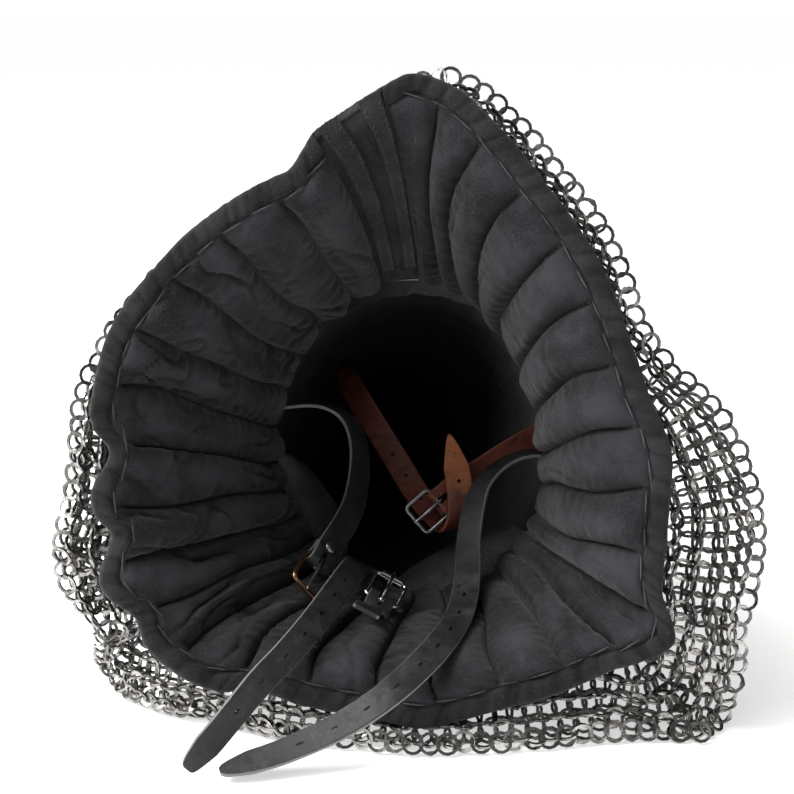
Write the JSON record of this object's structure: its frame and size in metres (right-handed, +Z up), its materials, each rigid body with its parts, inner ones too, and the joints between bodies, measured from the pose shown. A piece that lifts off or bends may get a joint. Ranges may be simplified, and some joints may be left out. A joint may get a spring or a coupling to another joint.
{
  "type": "bascinet with mail aventail",
  "caption": "Steel bascinet with an arming liner, lying on its back: a flared quilted neck padding under a mail curtain, with a chin strap and fastened lacing straps inside.",
  "frame": {"origin": "under the middle of the whole object's box, on the floor", "axes": "+Z up; the neck opening faces -Y and the skull's point lies towards +Y, dipping 13 degrees to the floor"},
  "size_m": [0.3924, 0.4454, 0.3606],
  "materials": {
    "black_padding": "matte, quilted",
    "black_hem": "matte, rolled and hand stitched",
    "black_closure_cloth": "matte",
    "black_tape": "matte, woven",
    "steel_mail": "riveted mail",
    "polished_steel": "polished",
    "black_liner": "matte, padded",
    "black_band_leather": "satin",
    "black_pad_cloth": "matte, padded",
    "black_strap_leather": "satin",
    "brown_strap_leather": "satin, suede at the back",
    "bronze_wire": "worn",
    "steel_wire": "satin",
    "chrome_wire": "bright"
  },
  "bodies": {
    "root": {"padding": "black_padding", "padding_hem": "black_hem", "closure_panel": "black_closure_cloth", "closure_tape_left": "black_tape", "closure_tape_right": "black_tape", "mail_curtain": "steel_mail", "skull": "polished_steel", "liner": "black_liner", "aventail_band": "black_band_leather", "cheek_pad_left": "black_pad_cloth", "nape_pad": "black_pad_cloth", "chin_strap_left": "black_strap_leather", "chin_rivet": "steel_wire", "chin_strap_right": "black_strap_leather", "aventail_strap": "black_strap_leather", "buckle_tab": "black_strap_leather", "chrome_buckle": "chrome_wire", "chrome_roller": "chrome_wire", "chrome_prong": "chrome_wire", "brown_strap_left": "brown_strap_leather", "brown_strap_right": "brown_strap_leather", "brown_buckle": "steel_wire", "brown_prong": "steel_wire"},
    "chin_buckle": {"chin_buckle": "bronze_wire"},
    "chin_prong": {"chin_prong": "steel_wire"}
  },
  "joints": [
    {"name": "chin_buckle_swing", "type": "hinge", "parent": "root", "child": "chin_buckle", "pos_m": [-0.05103, -0.08673, 0.07556], "axis": [-0.6318, -0.0842, 0.7705], "range_deg": [0, 30]},
    {"name": "chin_prong_swing", "type": "hinge", "parent": "chin_buckle", "child": "chin_prong", "pos_m": [-0.05103, -0.08673, 0.07556], "axis": [-0.6318, -0.0842, 0.7705], "range_deg": [0, 60]}
  ]
}
